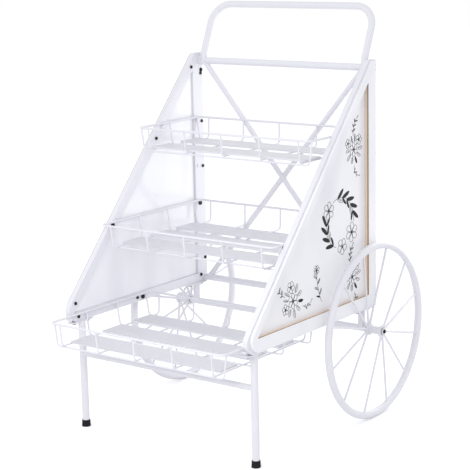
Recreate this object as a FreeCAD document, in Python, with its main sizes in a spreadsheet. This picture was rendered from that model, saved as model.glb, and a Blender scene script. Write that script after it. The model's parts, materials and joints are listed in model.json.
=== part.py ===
"""Flower cart stand: a wheeled three-tier display stand with triangular side panels.

Millimetres, +Z up, front at -Y, right side at +X.  The origin is the centre of the bounding
box on the floor.  A "reach" is a distance forwards from the rear face of the uprights.
"""
import FreeCAD, Part
import math
import os

import Sketcher
from FreeCAD import Placement, Rotation, Vector

LONG_WIRES = 5                                               # wires that run front to rear

DIMENSIONS = {
    # side frames: welded flat profile, with a board and a trim border on the outside
    "frame_inner_x": 284.0,
    "frame_depth": 14.0,
    "frame_width": 25.0,
    "frame_bottom_z": 296.0,
    "frame_top_z": 965.0,
    "frame_top_reach": 33.5,
    "frame_rear_reach": 18.0,
    "frame_slope": 48.16,
    "frame_nose_radius": 30.0,
    "board_thickness": 4.0,
    "board_inset": 8.0,
    "board_rear_reach": 14.0,
    "board_bottom_gap": 4.0,
    "board_top_drop": 2.0,
    "trim_thickness": 4.0,
    "trim_rear_width": 35.0,
    "trim_bottom_width": 36.0,
    "trim_slope_width": 18.0,
    # rear ladder: uprights, low beam, crossbar and two crossed tubes
    "upright_depth": 18.0,
    "beam_diameter": 19.0,
    "beam_z": 306.0,
    "brace_diameter": 15.0,
    "brace_foot_inset": 14.0,
    "brace_head_inset": 16.0,
    # handle
    "handle_diameter": 19.0,
    "handle_gap": 5.5,
    "handle_foot_z": 931.0,
    "handle_knee_z": 965.0,
    "handle_top_z": 1100.0,
    "handle_lean": 58.0,
    "handle_corner_radius": 60.0,
    "handle_knee_radius": 60.0,
    "crossbar_z": 943.0,
    "spacer_height": 26.0,
    "spacer_width": 14.0,
    # legs and feet
    "leg_diameter": 19.0,
    "front_leg_reach": 549.0,
    "plate_length": 80.0,
    "plate_width": 20.0,
    "plate_offset": 3.0,
    "plate_thickness": 3.0,
    "leg_bolt_pitch": 54.0,
    "leg_beam_z": 204.0,
    "leg_beam_diameter": 15.0,
    "foot_diameter": 24.0,
    "foot_height": 18.0,
    "foot_floor": 4.0,
    "foot_taper": 1.0,
    # wheels on one fixed axle
    "axle_reach": 53.0,
    "wheel_radius": 242.0,
    "rim_tube_diameter": 20.0,
    "wheel_gap": 22.0,
    "axle_tube_diameter": 18.0,
    "axle_diameter": 10.0,
    "bore_clearance": 0.05,
    "hub_length": 45.0,
    "hub_barrel_diameter": 21.0,
    "hub_flange_diameter": 32.0,
    "hub_flange_width": 6.0,
    "spoke_count": 12.0,
    "spoke_diameter": 5.0,
    "spoke_first_angle": 15.0,
    "washer_thickness": 1.5,
    "washer_diameter": 20.0,
    "side_play": 0.5,
    "nut_diameter": 17.0,
    "nut_length": 7.5,
    "nut_cap": 3.0,
    # wire trays with flat boards
    "rim_wire_diameter": 6.0,
    "wire_diameter": 4.5,
    "wire_end_margin": 9.2,
    "tray_depth": 59.0,
    "tray_side_flare": 25.0,
    "tray_end_flare": 18.0,
    "tray_corner_radius": 16.0,
    "weld_sink": 0.6,
    "top_rim_z": 781.5,
    "top_front_reach": 292.0,
    "top_rear_reach": 22.0,
    "top_slat_reach": 110.0,
    "top_slat_pitch": 125.0,
    "middle_rim_z": 539.0,
    "middle_front_reach": 460.0,
    "middle_rear_reach": 23.0,
    "middle_slat_reach": 142.0,
    "middle_slat_pitch": 114.0,
    "lower_rim_z": 316.0,
    "lower_front_reach": 672.0,
    "lower_rear_reach": 270.0,
    "lower_slat_reach": 354.0,
    "lower_slat_pitch": 123.0,
    "slat_width": 73.0,
    "slat_end_margin": 3.0,
    "slat_thickness": 5.0,
    # fasteners
    "screw_head_diameter": 9.0,
    "screw_head_height": 2.6,
    "screw_shank_diameter": 4.0,
    "bolt_head_diameter": 12.0,
    "bolt_head_height": 4.0,
    "bolt_shank_diameter": 6.0,
    "tray_bolt_end": 10.0,
    "top_tray_bolt_reach": 186.0,
    "middle_tray_bolt_reach": 412.0,
    "lower_tray_bolt_reach": 596.0,
    "lower_tray_rear_bolt_reach": 298.0,
    "tray_rear_bolt_reach": 27.0,
}

SIDES = (("left", -1), ("right", 1))
TRAYS = (("top", 2, 3), ("middle", 3, 4), ("lower", 3, 4))   # name, boards, cross wires

# Screws, as shares of the frame's height or of its depth along the floor rail.
SLOPE_SCREW_SHARES = (0.943, 0.668, 0.377, 0.075)
RAIL_SCREW_SHARES = (0.887, 0.506)
REAR_SCREW_SHARES = (0.514, 0.030)
UPRIGHT_SCREW_SHARES = (0.912, 0.706, 0.510, 0.103)


class Sizes:
    """The driving numbers by name, with those that follow from them."""

    def __init__(self, values):
        for word, value in values.items():
            setattr(self, word, value)
        front = self.lower_front_reach + self.rim_wire_diameter / 2
        rear = self.wheel_radius - self.axle_reach
        self.rear_y = (front - rear) / 2
        self.axle_y = self.rear_y - self.axle_reach
        self.front_leg_y = self.rear_y - self.front_leg_reach
        self.ladder_y = self.rear_y - self.upright_depth / 2
        self.frame_outer_x = self.frame_inner_x + self.frame_depth
        self.board_outer_x = self.frame_outer_x + self.board_thickness
        self.trim_outer_x = self.board_outer_x + self.trim_thickness
        self.rim_radius = self.wheel_radius - self.rim_tube_diameter / 2
        self.tray_rim_x = self.frame_inner_x - self.rim_wire_diameter / 2
        self.tray_floor_half = self.tray_rim_x - self.tray_side_flare
        self.wire_pitch = 2 * (self.tray_floor_half - self.wire_end_margin) / (LONG_WIRES - 1)
        self.slat_length = 2 * (self.tray_floor_half - self.slat_end_margin)
        self.leg_x = self.frame_inner_x
        self.handle_x = self.frame_inner_x - self.handle_gap - self.handle_diameter / 2
        self.brace_foot_x = self.frame_inner_x - self.brace_foot_inset
        self.brace_head_x = self.frame_inner_x - self.brace_head_inset
        self.wheel_x = self.trim_outer_x + self.wheel_gap
        self.hub_inner_x = self.wheel_x - self.hub_length / 2
        self.hub_outer_x = self.wheel_x + self.hub_length / 2
        self.axle_tube_half = self.hub_inner_x - self.side_play - self.washer_thickness
        self.nut_start_x = self.hub_outer_x + self.side_play + self.washer_thickness
        self.nut_end_x = self.nut_start_x + self.nut_length
        self.axle_half = self.nut_end_x - self.nut_cap
        self.leg_top_z = self.frame_bottom_z - self.plate_thickness

    def slope_y(self, z, inset=0.0):
        """Y of the line that lies `inset` inside the frame's sloping outer edge."""
        angle = math.radians(self.frame_slope)
        fall = (self.frame_top_z - z) / math.tan(angle)
        return self.rear_y - self.frame_top_reach - fall + inset / math.sin(angle)

    def height_at(self, share):
        """Height at a share of the side frame's height."""
        return self.frame_bottom_z + share * (self.frame_top_z - self.frame_bottom_z)

    def slope_z(self, y, inset=0.0):
        """Height of the same line at a given Y."""
        angle = math.radians(self.frame_slope)
        return self.frame_top_z - (self.slope_y(self.frame_top_z, inset) - y) * math.tan(angle)


class Cart:
    """The document, its sheet of dimensions and the sub-parts made so far."""

    def __init__(self):
        self.doc = FreeCAD.newDocument("flower_cart_stand")
        self.size = Sizes(DIMENSIONS)
        self.sheet = self.doc.addObject("Spreadsheet::Sheet", "Dims")
        self.rows = 0
        self.parts = []
        for word, value in vars(self.size).items():
            self.note(word, value)
        self.doc.recompute()

    def note(self, word, value):
        """Write one number to the sheet, give its cell a name and return the reference."""
        self.rows += 1
        self.sheet.set("A%d" % self.rows, word)
        self.sheet.set("B%d" % self.rows, repr(float(value)))
        self.sheet.setAlias("B%d" % self.rows, word)
        return "Dims." + word

    def read(self, word):
        """The number that stands in the sheet under a word."""
        return float(self.sheet.get(word))

    def part(self, obj, label):
        """Put a finished sub-part on the list under its own label."""
        obj.Label = label
        self.parts.append(obj)
        return obj

    def solid(self, kind, name, **expressions):
        """A Part primitive whose sizes are tied to the sheet."""
        obj = self.doc.addObject("Part::" + kind, name)
        for key, text in expressions.items():
            obj.setExpression(key.replace("__", "."), text)
        return obj

    def at(self, obj, x="0", y="0", z="0", turn=None):
        """Tie an object's position to the sheet, after an optional turn."""
        if turn is not None:
            obj.Placement = Placement(Vector(), turn)
        for axis, text in (("x", x), ("y", y), ("z", z)):
            obj.setExpression("Placement.Base." + axis, text)
        return obj

    def join(self, kind, name, base, tools):
        """A cut, fusion or common of document objects."""
        if len(tools) > 1:
            tool = self.doc.addObject("Part::Compound", name + "_tools")
            tool.Links = tools
        else:
            tool = tools[0]
        obj = self.doc.addObject("Part::" + kind, name)
        obj.Base = base
        obj.Tool = tool
        return obj

    def feature(self, name, shape):
        """A shape made by code, where no primitive or body fits."""
        obj = self.doc.addObject("Part::Feature", name)
        obj.Shape = shape
        obj.Placement = Placement()
        return obj

    def body(self, name):
        """An empty PartDesign body."""
        return self.doc.addObject("PartDesign::Body", name)

    def sketch(self, body, name, role, loops):
        """A sketch of closed straight outlines; each corner is a pair of sheet words."""
        sketch = body.newObject("Sketcher::SketchObject", name)
        plane = next(item for item in body.Origin.OriginFeatures if item.Role == role)
        sketch.AttachmentSupport = [(plane, "")]
        sketch.MapMode = "FlatFace"
        for loop in loops:
            first = sketch.GeometryCount
            corners = [Vector(self.read(u), self.read(v), 0) for u, v in loop]
            for start, end in zip(corners, corners[1:] + corners[:1]):
                sketch.addGeometry(Part.LineSegment(start, end), False)
            for i, (u, v) in enumerate(loop):
                line = first + i
                following = first + (i + 1) % len(loop)
                sketch.addConstraint(Sketcher.Constraint("Coincident", line, 2, following, 1))
                for kind, word in (("DistanceX", u), ("DistanceY", v)):
                    rule = Sketcher.Constraint(kind, -1, 1, line, 1, self.read(word))
                    index = sketch.addConstraint(rule)
                    sketch.setExpression("Constraints[%d]" % index, "Dims." + word)
        return sketch

    def pad(self, body, sketch, length):
        """A pad of a sketch, with its length tied to the sheet."""
        pad = body.newObject("PartDesign::Pad", body.Name + "_pad")
        pad.Profile = sketch
        pad.setExpression("Length", length)
        return pad

    def revolve(self, body, name, role, profile, axis):
        """A full revolution of a closed profile about one axis of its sketch."""
        sketch = self.sketch(body, name, role, [profile])
        turn = body.newObject("PartDesign::Revolution", name + "_turn")
        turn.Profile = sketch
        turn.ReferenceAxis = (sketch, [axis])
        turn.Angle = 360.0
        return turn

    def profile(self, stem, points):
        """Write the corners of an outline to the sheet and return their words."""
        words = []
        for i, (u, v) in enumerate(points):
            pair = (stem + "_u_" + LETTERS[i], stem + "_v_" + LETTERS[i])
            self.note(pair[0], u)
            self.note(pair[1], v)
            words.append(pair)
        self.doc.recompute()
        return words


LETTERS = "abcdefghijklmnopqrstuvwxyz"
ALONG_X = Rotation(Vector(0, 1, 0), 90)


def rounded_path(points, radii):
    """A wire through points, with a tangent arc of the given radius at each inner one."""
    edges = []
    start = points[0]
    for i in range(1, len(points) - 1):
        before = (points[i - 1] - points[i]).normalize()
        after = (points[i + 1] - points[i]).normalize()
        half = before.getAngle(after) / 2
        length = radii[i - 1] / math.tan(half)
        enter = points[i] + before * length
        leave = points[i] + after * length
        middle = (before + after).normalize()
        belly = points[i] + middle * (radii[i - 1] / math.sin(half) - radii[i - 1])
        edges.append(Part.LineSegment(start, enter).toShape())
        edges.append(Part.Arc(enter, belly, leave).toShape())
        start = leave
    edges.append(Part.LineSegment(start, points[-1]).toShape())
    return Part.Wire(edges)


def bent_tube(path, diameter, mitred=False):
    """A round bar along a wire."""
    first = path.Edges[0]
    tangent = first.tangentAt(first.FirstParameter)
    section = Part.Wire([Part.makeCircle(diameter / 2, first.valueAt(first.FirstParameter), tangent)])
    return path.makePipeShell([section], True, True, 1 if mitred else 0)


def fastener(head, side, point, shank_end):
    """A headed screw along X: its head lies inside the point, its shank runs outwards."""
    head_diameter, head_height, shank_diameter = head
    outwards = Vector(side, 0, 0)
    cap = Part.makeCylinder(head_diameter / 2, head_height, point - outwards * head_height, outwards)
    shank = Part.makeCylinder(shank_diameter / 2, shank_end, point, outwards)
    return cap.fuse(shank).removeSplitter()


# ---- rear ladder and handle ----------------------------------------------------------

def make_handle(cart):
    """The U-shaped push handle, with its crossbar, spacers and screws."""
    size = cart.size
    foot, knee, top = size.handle_foot_z, size.handle_knee_z, size.handle_top_z
    lean_y = size.ladder_y + size.handle_lean
    points = [Vector(-size.handle_x, size.ladder_y, foot), Vector(-size.handle_x, size.ladder_y, knee),
              Vector(-size.handle_x, lean_y, top), Vector(size.handle_x, lean_y, top),
              Vector(size.handle_x, size.ladder_y, knee), Vector(size.handle_x, size.ladder_y, foot)]
    knee_radius, corner_radius = size.handle_knee_radius, size.handle_corner_radius
    radii = [knee_radius, corner_radius, corner_radius, knee_radius]
    bar = cart.feature("handle_bar", bent_tube(rounded_path(points, radii), size.handle_diameter))
    bolts = cart.feature("handle_fasteners", handle_fasteners(size))
    cart.part(bolts, "handle_bolts")
    cart.part(cart.join("Cut", "handle_bored", bar, [bolts]), "handle_tube")
    cross = cart.solid("Cylinder", "crossbar_rod", Radius="Dims.handle_diameter / 2",
                       Height="2 * Dims.handle_x")
    cart.at(cross, "-Dims.handle_x", "Dims.ladder_y", "Dims.crossbar_z", ALONG_X)
    bar_cut = cart.join("Cut", "crossbar_coped", cross, [bar])
    cart.part(bar_cut, "handle_crossbar")
    for name, side in SIDES:
        block = cart.solid("Box", "spacer_block_" + name, Length="Dims.frame_inner_x - Dims.handle_x",
                           Width="Dims.spacer_width", Height="Dims.spacer_height")
        cart.at(block, "Dims.handle_x" if side > 0 else "-Dims.frame_inner_x",
                "Dims.ladder_y - Dims.spacer_width / 2", "Dims.crossbar_z - Dims.spacer_height / 2 + 1")
        seat = cart.join("Cut", "spacer_coped_" + name, block, [bar, bolts])
        cart.part(seat, "handle_spacer_" + name)
    return bar, bar_cut, bolts


def handle_fasteners(size):
    """Two screws a side, from outside through the upright and the spacer into the tube."""
    head = (size.screw_head_diameter, size.screw_head_height, size.screw_shank_diameter)
    reach = size.frame_outer_x - size.handle_x - size.handle_diameter / 4
    solids = []
    for side in (-1, 1):
        for step in (-1, 1):
            z = size.crossbar_z + 1 + step * size.spacer_height / 4
            point = Vector(side * size.frame_outer_x, size.ladder_y, z)
            solids.append(fastener(head, -side, point, reach))
    return Part.makeCompound(solids)


def make_ladder(cart, handle_bar, crossbar, handle_bolts):
    """Uprights, low beam and the crossed tubes between them."""
    size = cart.size
    head = (size.screw_head_diameter, size.screw_head_height, size.screw_shank_diameter)
    screws = []
    for side in (-1, 1):
        for share in UPRIGHT_SCREW_SHARES:
            point = Vector(side * size.frame_inner_x, size.ladder_y, size.height_at(share))
            screws.append(fastener(head, side, point, size.frame_depth))
    upright_screws = cart.part(cart.feature("upright_fasteners", Part.makeCompound(screws)),
                               "upright_bolts")
    for name, side in SIDES:
        bar = cart.solid("Box", "upright_bar_" + name, Length="Dims.frame_depth",
                         Width="Dims.upright_depth", Height="Dims.frame_top_z - Dims.frame_bottom_z")
        cart.at(bar, "Dims.frame_inner_x" if side > 0 else "-Dims.frame_outer_x",
                "Dims.rear_y - Dims.upright_depth", "Dims.frame_bottom_z")
        bored = cart.join("Cut", "upright_bored_" + name, bar, [upright_screws, handle_bolts])
        cart.part(bored, "rear_upright_" + name)
    beam = cart.solid("Cylinder", "lower_beam", Radius="Dims.beam_diameter / 2",
                      Height="2 * Dims.frame_inner_x")
    cart.at(beam, "-Dims.frame_inner_x", "Dims.ladder_y", "Dims.beam_z", ALONG_X)
    cart.part(beam, "lower_rear_beam")
    ends = [handle_bar, crossbar, beam]
    run = size.brace_foot_x + size.brace_head_x
    rise = size.crossbar_z - size.beam_z
    cart.note("brace_length", math.hypot(run, rise))
    cart.doc.recompute()
    lean = math.degrees(math.atan2(run, rise))
    rods = []
    for name, side in (("long", 1), ("crossed", -1)):
        rod = cart.solid("Cylinder", "brace_rod_" + name, Radius="Dims.brace_diameter / 2",
                         Height="Dims.brace_length")
        foot = "Dims.brace_foot_x" if side > 0 else "-Dims.brace_foot_x"
        cart.at(rod, foot, "Dims.ladder_y", "Dims.beam_z", Rotation(Vector(0, 1, 0), -side * lean))
        rods.append(rod)
    whole = cart.join("Cut", "brace_whole", rods[0], ends)
    cart.part(whole, "brace_long")
    cart.part(cart.join("Cut", "brace_split", rods[1], ends + [rods[0]]), "brace_halves")


# ---- side panels ---------------------------------------------------------------------

def make_panels(cart, tray_bolts):
    """Frame, board, trim border and screws of each side."""
    size = cart.size
    bottom, top = size.frame_bottom_z, size.frame_top_z
    rear = size.rear_y - size.frame_rear_reach
    width = size.frame_width
    inner_rear = rear - width
    outer = cart.profile("frame_outline", [
        (rear, bottom), (rear, top), (size.slope_y(top), top), (size.slope_y(bottom), bottom)])
    inner = cart.profile("frame_opening", [
        (inner_rear, bottom + width), (inner_rear, size.slope_z(inner_rear, width)),
        (size.slope_y(bottom + width, width), bottom + width)])
    board_rear = size.rear_y - size.board_rear_reach
    board_bottom = bottom + size.board_bottom_gap
    board_top = top - size.board_top_drop
    inset = size.board_inset
    board = cart.profile("board_outline", [
        (board_rear, board_bottom), (board_rear, board_top),
        (size.slope_y(board_top, inset), board_top), (size.slope_y(board_bottom, inset), board_bottom)])
    window_rear = board_rear - size.trim_rear_width
    window_bottom = board_bottom + size.trim_bottom_width
    window_inset = inset + size.trim_slope_width
    window = cart.profile("trim_window", [
        (window_rear, window_bottom), (window_rear, size.slope_z(window_rear, window_inset)),
        (size.slope_y(window_bottom, window_inset), window_bottom)])
    for name, side in SIDES:
        screws = cart.feature("board_fasteners_" + name, board_fasteners(size, side))
        cart.part(screws, "board_bolts_" + name)
        ring = plate(cart, "frame_ring_" + name, [outer, inner], "Dims.frame_depth",
                     side, "frame_inner_x", "frame_outer_x", "frame_nose_radius")
        bored = cart.join("Cut", "frame_bored_" + name, ring, [screws, tray_bolts])
        cart.part(bored, "side_frame_" + name)
        sheet = plate(cart, "board_sheet_" + name, [board], "Dims.board_thickness",
                      side, "frame_outer_x", "board_outer_x", "frame_nose_radius")
        cart.part(sheet, "side_board_" + name)
        border = plate(cart, "trim_border_" + name, [board, window], "Dims.trim_thickness",
                       side, "board_outer_x", "trim_outer_x", "frame_nose_radius")
        cart.part(border, "side_trim_" + name)


def plate(cart, name, loops, thickness, side, near, far, nose_radius):
    """A flat upright plate with a rounded front corner, on one side of the cart."""
    body = cart.body(name)
    sketch = cart.sketch(body, name + "_sketch", "YZ_Plane", loops)
    pad = cart.pad(body, sketch, thickness)
    cart.doc.recompute()
    nose = min(range(len(pad.Shape.Edges)), key=lambda i: nose_rank(pad.Shape.Edges[i]))
    fillet = body.newObject("PartDesign::Fillet", name + "_nose")
    fillet.Base = (pad, ["Edge%d" % (nose + 1)])
    fillet.setExpression("Radius", "Dims." + nose_radius)
    return cart.at(body, "Dims." + near if side > 0 else "-Dims." + far)


def nose_rank(edge):
    """Smallest for the edge across the plate that lies furthest forward."""
    first, last = edge.Vertexes[0].Point, edge.Vertexes[-1].Point
    across = abs(first.x - last.x) > abs(first.y - last.y) + abs(first.z - last.z)
    return edge.CenterOfMass.y if across else float("inf")


def board_fasteners(size, side):
    """The screws that hold one board, with their heads on the frame's inner face."""
    head = (size.screw_head_diameter, size.screw_head_height, size.screw_shank_diameter)
    middle = size.frame_width / 2
    rear_y = size.rear_y - size.frame_rear_reach - middle
    rail_z = size.frame_bottom_z + middle
    heights = [size.height_at(share) for share in SLOPE_SCREW_SHARES]
    places = [(size.slope_y(z, middle), z) for z in heights]
    depth = size.rear_y - size.slope_y(size.frame_bottom_z)
    places += [(size.rear_y - share * depth, rail_z) for share in RAIL_SCREW_SHARES]
    places += [(rear_y, size.height_at(share)) for share in REAR_SCREW_SHARES]
    solids = [fastener(head, side, Vector(side * size.frame_inner_x, y, z), size.frame_depth)
              for y, z in places]
    return Part.makeCompound(solids)


# ---- trays ---------------------------------------------------------------------------

def tray_fasteners(size):
    """Two bolts a side under each tray, whose rim wire rests on their heads."""
    head = (size.bolt_head_diameter, size.bolt_head_height, size.bolt_shank_diameter)
    drop = (size.rim_wire_diameter + size.bolt_head_diameter) / 2
    places = []
    for name, _boards, _wires in TRAYS:
        z = getattr(size, name + "_rim_z") - drop
        rear = size.lower_tray_rear_bolt_reach if name == "lower" else size.tray_rear_bolt_reach
        for reach in (getattr(size, name + "_tray_bolt_reach"), rear):
            places.append((size.rear_y - reach, z))
    x = size.frame_inner_x
    solids = [fastener(head, side, Vector(side * x, y, z), size.tray_bolt_end)
              for side in (-1, 1) for y, z in places]
    return Part.makeCompound(solids)


def make_trays(cart):
    """Three wire trays and the boards that lie in them."""
    size = cart.size
    for name, boards, wires in TRAYS:
        rim_z = getattr(size, name + "_rim_z")
        front = size.rear_y - getattr(size, name + "_front_reach")
        rear = size.rear_y - getattr(size, name + "_rear_reach")
        basket = cart.feature("basket_" + name, wire_tray(size, rim_z, front, rear, wires))
        cart.part(basket, name + "_basket")
        top_z = rim_z - size.tray_depth + size.wire_diameter / 2
        cart.note(name + "_slat_z", top_z)
        cart.doc.recompute()
        slats = []
        for i in range(boards):
            slat = cart.solid("Box", "%s_slat_%s" % (name, LETTERS[i]), Length="Dims.slat_length",
                              Width="Dims.slat_width", Height="Dims.slat_thickness")
            reach = "Dims.%s_slat_reach + %d * Dims.%s_slat_pitch" % (name, i, name)
            cart.at(slat, "-Dims.slat_length / 2", "Dims.rear_y - Dims.slat_width / 2 - (%s)" % reach,
                    "Dims.%s_slat_z" % name)
            slats.append(slat)
        group = cart.doc.addObject("Part::Compound", name + "_boards")
        group.Links = slats
        cart.part(group, name + "_slats")


def wire_tray(size, rim_z, front, rear, wires):
    """One tray: a rim wire, and bent wires both ways that make its walls and floor."""
    half = size.tray_rim_x
    floor_z = rim_z - size.tray_depth
    corner = size.tray_corner_radius
    middle = Vector(0, front, rim_z)
    ring = [middle, Vector(half, front, rim_z), Vector(half, rear, rim_z),
            Vector(-half, rear, rim_z), Vector(-half, front, rim_z), middle]
    solids = [bent_tube(rounded_path(ring, [corner] * 4), size.rim_wire_diameter)]
    end_flare, side_flare = size.tray_end_flare, size.tray_side_flare
    for i in range(LONG_WIRES):
        x = (i - (LONG_WIRES - 1) / 2) * size.wire_pitch
        points = [Vector(x, front, rim_z), Vector(x, front + end_flare, floor_z),
                  Vector(x, rear - end_flare, floor_z), Vector(x, rear, rim_z)]
        solids.append(bent_tube(Part.makePolygon(points), size.wire_diameter, True))
    below = floor_z - size.wire_diameter + size.weld_sink
    margin = (rear - front - (wires - 1) * size.wire_pitch) / 2
    for i in range(wires):
        y = front + margin + i * size.wire_pitch
        points = [Vector(-half, y, rim_z), Vector(side_flare - half, y, below),
                  Vector(half - side_flare, y, below), Vector(half, y, rim_z)]
        solids.append(bent_tube(Part.makePolygon(points), size.wire_diameter, True))
    return solids[0].multiFuse(solids[1:])


# ---- legs ----------------------------------------------------------------------------

def make_legs(cart, axle_tube):
    """Front legs with feet and their beam, rear legs on the axle tube, and their bolts."""
    size = cart.size
    bolts = cart.part(cart.feature("leg_fasteners", leg_fasteners(size)), "leg_bolts")
    front_rods = []
    for name, side in SIDES:
        x = "Dims.leg_x" if side > 0 else "-Dims.leg_x"
        rod = cart.solid("Cylinder", "front_rod_" + name, Radius="Dims.leg_diameter / 2",
                         Height="Dims.leg_top_z - Dims.foot_floor")
        cart.at(rod, x, "Dims.front_leg_y", "Dims.foot_floor")
        front_rods.append(rod)
        rear_rod = cart.solid("Cylinder", "rear_rod_" + name, Radius="Dims.leg_diameter / 2",
                              Height="Dims.leg_top_z - Dims.wheel_radius")
        cart.at(rear_rod, x, "Dims.axle_y", "Dims.wheel_radius")
        coped = cart.join("Cut", "rear_coped_" + name, rear_rod, [axle_tube])
        for leg, word, rods in (("front", "Dims.front_leg_y", rod), ("rear", "Dims.axle_y", coped)):
            top = cart.solid("Box", "%s_plate_%s" % (leg, name), Length="Dims.plate_width",
                             Width="Dims.plate_length", Height="Dims.plate_thickness")
            middle = x + (" + " if side > 0 else " - ") + "Dims.plate_offset"
            cart.at(top, middle + " - Dims.plate_width / 2", word + " - Dims.plate_length / 2",
                    "Dims.leg_top_z")
            welded = cart.join("Fuse", "%s_welded_%s" % (leg, name), rods, [top])
            bored = cart.join("Cut", "%s_bored_%s" % (leg, name), welded, [bolts])
            cart.part(bored, "%s_leg_%s" % (leg, name))
        make_foot(cart, name, x)
    beam = cart.solid("Cylinder", "leg_beam_rod", Radius="Dims.leg_beam_diameter / 2",
                      Height="2 * Dims.leg_x")
    cart.at(beam, "-Dims.leg_x", "Dims.front_leg_y", "Dims.leg_beam_z", ALONG_X)
    cart.part(cart.join("Cut", "leg_beam_coped", beam, front_rods), "front_leg_beam")


def leg_fasteners(size):
    """Bolts up through the leg plates, with their heads below."""
    solids = []
    length = size.plate_thickness
    for side in (-1, 1):
        for y in (size.front_leg_y, size.axle_y):
            for step in (-1, 1):
                x = side * (size.leg_x + size.plate_offset)
                point = Vector(x, y + step * size.leg_bolt_pitch / 2, size.leg_top_z)
                up = Vector(0, 0, 1)
                cap = Part.makeCylinder(size.screw_head_diameter / 2, size.bolt_head_height,
                                        point - up * size.bolt_head_height, up)
                shank = Part.makeCylinder(size.screw_shank_diameter / 2, length, point, up)
                solids.append(cap.fuse(shank).removeSplitter())
    return Part.makeCompound(solids)


def make_foot(cart, name, x):
    """A rubber cup on the end of a front leg."""
    size = cart.size
    outer, bore = size.foot_diameter / 2, size.leg_diameter / 2
    if name == "left":
        cart.profile("foot_cup", [(0, 0), (outer, 0), (outer - size.foot_taper, size.foot_height),
                                  (bore, size.foot_height), (bore, size.foot_floor),
                                  (0, size.foot_floor)])
    words = [("foot_cup_u_" + LETTERS[i], "foot_cup_v_" + LETTERS[i]) for i in range(6)]
    body = cart.body("foot_cup_" + name)
    cart.revolve(body, "foot_profile_" + name, "XZ_Plane", words, "V_Axis")
    cart.at(body, x, "Dims.front_leg_y")
    cart.part(body, "rubber_foot_" + name)


# ---- axle and wheels -----------------------------------------------------------------

def make_axle(cart):
    """The fixed axle: tube, rod, washers and cap nuts."""
    size = cart.size
    rod = cart.solid("Cylinder", "axle_bar", Radius="Dims.axle_diameter / 2", Height="2 * Dims.axle_half")
    cart.at(rod, "-Dims.axle_half", "Dims.axle_y", "Dims.wheel_radius", ALONG_X)
    cart.part(rod, "axle_rod")
    sleeve = cart.solid("Cylinder", "axle_sleeve", Radius="Dims.axle_tube_diameter / 2",
                        Height="2 * Dims.axle_tube_half")
    cart.at(sleeve, "-Dims.axle_tube_half", "Dims.axle_y", "Dims.wheel_radius", ALONG_X)
    cart.part(cart.join("Cut", "axle_sleeve_bored", sleeve, [rod]), "axle_tube")
    thickness = size.washer_thickness
    inner_x = size.axle_tube_half
    outer_x = size.hub_outer_x + size.side_play
    rings = []
    for side in (-1, 1):
        for x in (inner_x, outer_x):
            start = Vector(side * x, size.axle_y, size.wheel_radius)
            out = Vector(side, 0, 0)
            disc = Part.makeCylinder(size.washer_diameter / 2, thickness, start, out)
            rings.append(disc.cut(Part.makeCylinder(size.axle_diameter / 2, thickness, start, out)))
    cart.part(cart.feature("washer_rings", Part.makeCompound(rings)), "hub_washers")
    near = size.nut_start_x
    bore, nut = size.axle_diameter / 2, size.nut_diameter / 2
    dome = (size.nut_end_x - near) / 3
    words = cart.profile("cap_nut", [
        (near, bore), (near, nut), (size.nut_end_x - dome, nut), (size.nut_end_x, bore),
        (size.nut_end_x, 0), (size.axle_half, 0), (size.axle_half, bore)])
    for name, side in SIDES:
        body = cart.body("nut_" + name)
        cart.revolve(body, "nut_profile_" + name, "XZ_Plane", words, "H_Axis")
        turn = Rotation() if side > 0 else Rotation(Vector(0, 0, 1), 180)
        cart.at(body, "0", "Dims.axle_y", "Dims.wheel_radius", turn)
        cart.part(body, "axle_cap_nut_" + name)
    return sleeve


def make_wheels(cart):
    """Two spoked wheels: a round-tube rim, a flanged hub and straight wire spokes."""
    size = cart.size
    bore = size.axle_diameter / 2 + size.bore_clearance
    barrel, flange = size.hub_barrel_diameter / 2, size.hub_flange_diameter / 2
    near, far, rib = size.hub_inner_x, size.hub_outer_x, size.hub_flange_width
    words = cart.profile("hub", [
        (near, bore), (near, flange), (near + rib, flange), (near + rib, barrel),
        (far - rib, barrel), (far - rib, flange), (far, flange), (far, bore)])
    for name, side in SIDES:
        turn = Rotation() if side > 0 else Rotation(Vector(0, 0, 1), 180)
        hub = cart.body("hub_" + name)
        cart.revolve(hub, "hub_profile_" + name, "XZ_Plane", words, "H_Axis")
        cart.at(hub, "0", "Dims.axle_y", "Dims.wheel_radius", turn)
        cart.part(hub, "wheel_hub_" + name)
        rim = cart.solid("Torus", "rim_" + name, Radius1="Dims.rim_radius",
                         Radius2="Dims.rim_tube_diameter / 2")
        cart.at(rim, "Dims.wheel_x" if side > 0 else "-Dims.wheel_x", "Dims.axle_y",
                "Dims.wheel_radius", ALONG_X)
        cart.part(rim, "wheel_rim_" + name)
        cart.doc.recompute()
        wires = cart.feature("spoke_wires_" + name, spoke_set(size, side))
        coped = cart.join("Cut", "spokes_coped_" + name, wires, [rim])
        cart.part(coped, "wheel_spokes_" + name)


def spoke_set(size, side):
    """Straight spokes that go to the two hub flanges in turn."""
    centre = Vector(0, size.axle_y, size.wheel_radius)
    flange = size.hub_flange_diameter / 2
    rib = size.hub_flange_width / 2
    count = int(size.spoke_count)
    solids = []
    collar = Part.makeCylinder(flange, 2 * size.hub_length,
                               centre + Vector(side * size.wheel_x - size.hub_length, 0, 0),
                               Vector(1, 0, 0))
    for i in range(count):
        angle = math.radians(size.spoke_first_angle + i * 360.0 / count)
        ray = Vector(0, math.cos(angle), math.sin(angle))
        x = size.hub_inner_x + rib if i % 2 == 0 else size.hub_outer_x - rib
        start = centre + Vector(side * x, 0, 0) + ray * (flange - rib)
        end = centre + Vector(side * size.wheel_x, 0, 0) + ray * size.rim_radius
        solids.append(Part.makeCylinder(size.spoke_diameter / 2, (end - start).Length, start,
                                        end - start).cut(collar))
    return Part.makeCompound(solids)


# ---- all together --------------------------------------------------------------------

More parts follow.
